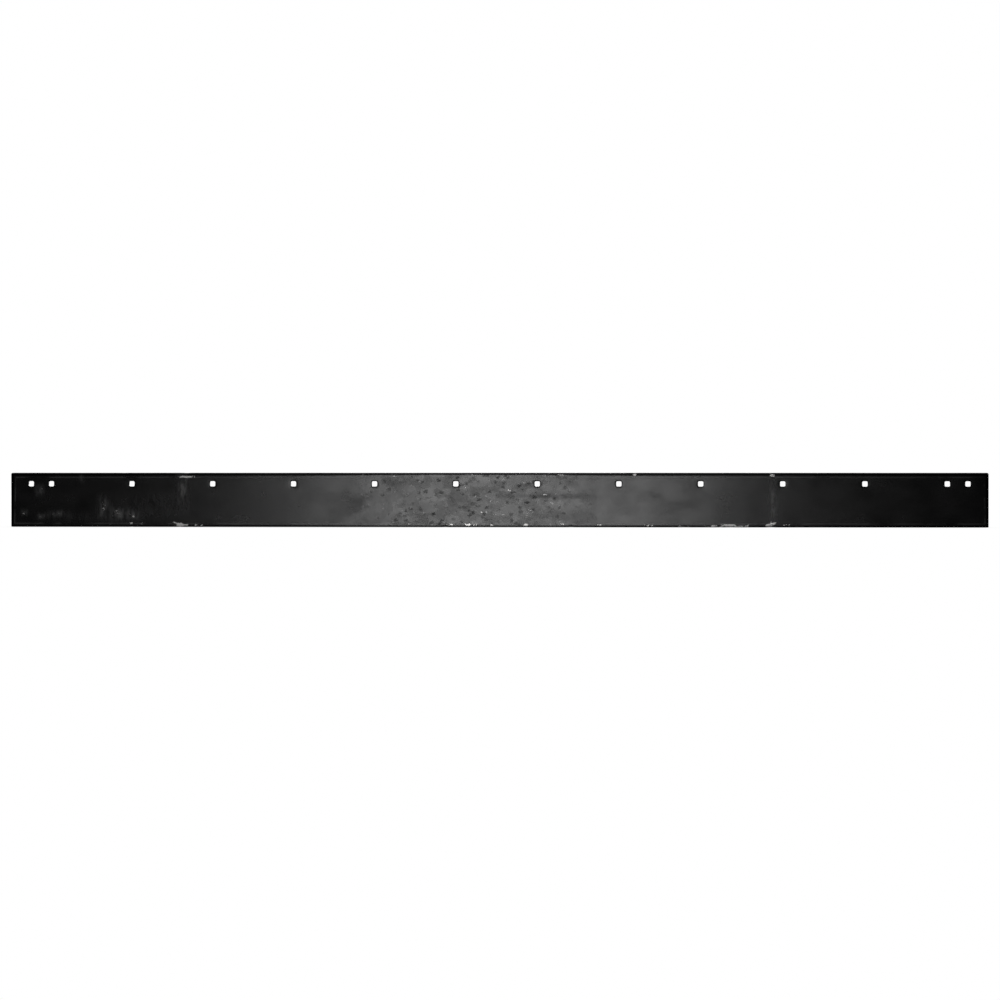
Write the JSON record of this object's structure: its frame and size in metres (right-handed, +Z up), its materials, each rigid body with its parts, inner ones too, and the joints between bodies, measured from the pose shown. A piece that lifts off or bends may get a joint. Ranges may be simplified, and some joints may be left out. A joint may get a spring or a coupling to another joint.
{
  "type": "plow blade wear bar",
  "caption": "Flat steel wear bar that bolts along the foot of a small plow's blade, with a row of square bolt holes near its top edge.",
  "frame": {"origin": "middle of the scraping edge, at half the bar's length and half its thickness", "axes": "+X along the bar, to the right when looking at its front; +Y from the front, where the bolt heads sit, to the back, which lies against the plow's blade; +Z up, from the scraping edge to the bolt holes"},
  "size_m": [1.8288, 0.0064, 0.1016],
  "materials": {
    "black_steel": "thin black paint over mill scale, satin, scuffed along the edges"
  },
  "bodies": {
    "root": {"wear_bar": "black_steel"}
  },
  "joints": []
}
